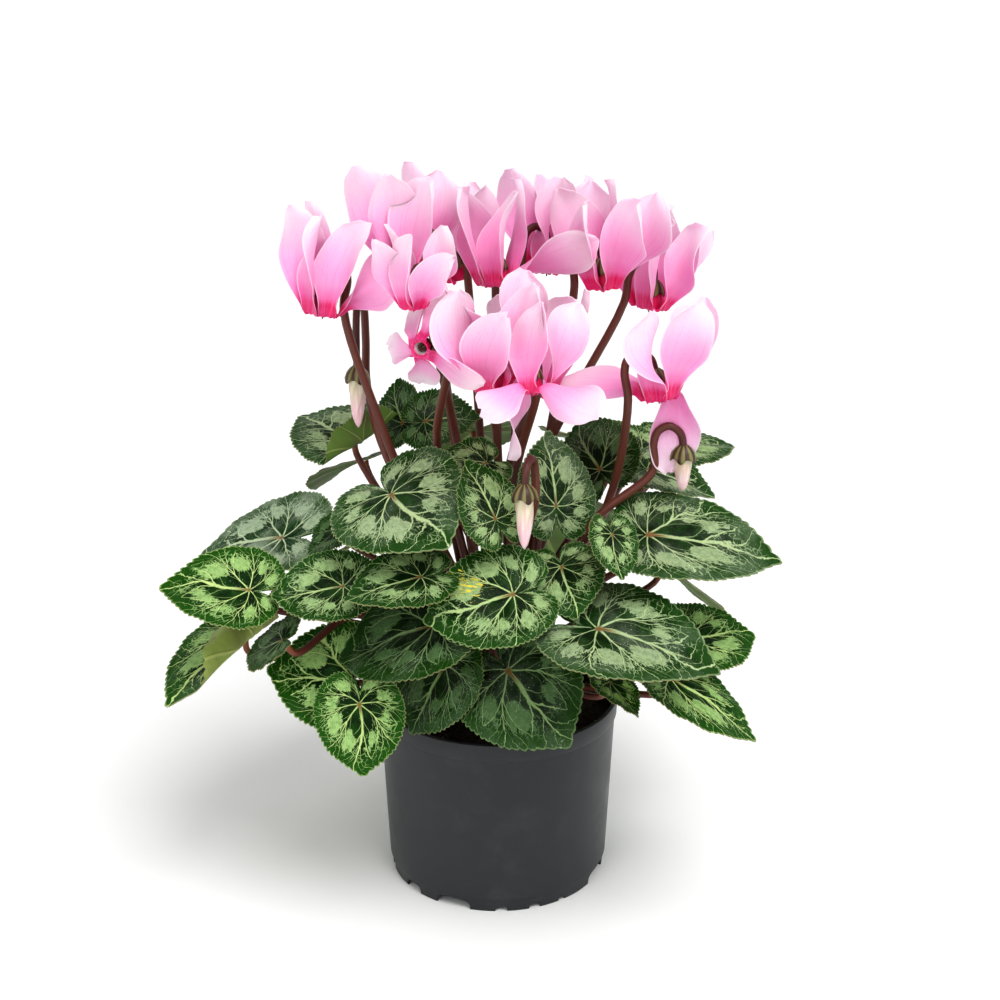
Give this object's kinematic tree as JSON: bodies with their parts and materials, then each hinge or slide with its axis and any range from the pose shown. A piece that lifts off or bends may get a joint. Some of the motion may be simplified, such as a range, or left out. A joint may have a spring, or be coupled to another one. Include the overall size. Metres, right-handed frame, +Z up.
{
  "type": "potted cyclamen",
  "caption": "Florist's cyclamen in bloom in a thin round nursery pot: nodding flowers with swept-back petals over a mound of marbled heart-shaped leaves.",
  "frame": {"origin": "centre of the pot's flat bottom, on the surface that the pot stands on", "axes": "+Z up along the pot's axis; -Y is the front, the side that the picture shows; +X is to the right seen from the front"},
  "size_m": [0.2892, 0.2419, 0.3549],
  "materials": {
    "pot_plastic": "satin",
    "peat": "matte",
    "stalk_skin": "satin",
    "leaf_blade": "satin",
    "petal": "matte",
    "bud_petal": "matte"
  },
  "bodies": {
    "root": {"pot": "pot_plastic", "soil": "peat", "corm_and_stalks": "stalk_skin", "leaf_01": "leaf_blade", "leaf_02": "leaf_blade", "leaf_03": "leaf_blade", "leaf_04": "leaf_blade", "leaf_05": "leaf_blade", "leaf_06": "leaf_blade", "leaf_07": "leaf_blade", "leaf_08": "leaf_blade", "leaf_09": "leaf_blade", "leaf_10": "leaf_blade", "leaf_11": "leaf_blade", "leaf_12": "leaf_blade", "leaf_13": "leaf_blade", "leaf_14": "leaf_blade", "leaf_15": "leaf_blade", "leaf_16": "leaf_blade", "leaf_17": "leaf_blade", "leaf_18": "leaf_blade", "leaf_19": "leaf_blade", "leaf_20": "leaf_blade", "leaf_21": "leaf_blade", "leaf_22": "leaf_blade", "leaf_23": "leaf_blade", "leaf_24": "leaf_blade", "leaf_25": "leaf_blade", "leaf_26": "leaf_blade", "leaf_27": "leaf_blade", "leaf_28": "leaf_blade", "leaf_29": "leaf_blade", "leaf_30": "leaf_blade", "leaf_31": "leaf_blade", "leaf_32": "leaf_blade", "leaf_33": "leaf_blade", "leaf_34": "leaf_blade", "leaf_35": "leaf_blade", "leaf_36": "leaf_blade", "leaf_37": "leaf_blade", "leaf_38": "leaf_blade", "leaf_39": "leaf_blade", "leaf_40": "leaf_blade", "bloom_01": "petal", "bloom_02": "petal", "bloom_03": "petal", "bloom_04": "petal", "bloom_05": "petal", "bloom_06": "petal", "bloom_07": "petal", "bloom_08": "petal", "bloom_09": "petal", "bloom_10": "petal", "bloom_11": "petal", "bloom_12": "petal", "bloom_13": "petal", "bud_01": "bud_petal", "bud_02": "bud_petal", "bud_03": "bud_petal", "bud_04": "bud_petal"}
  },
  "joints": []
}
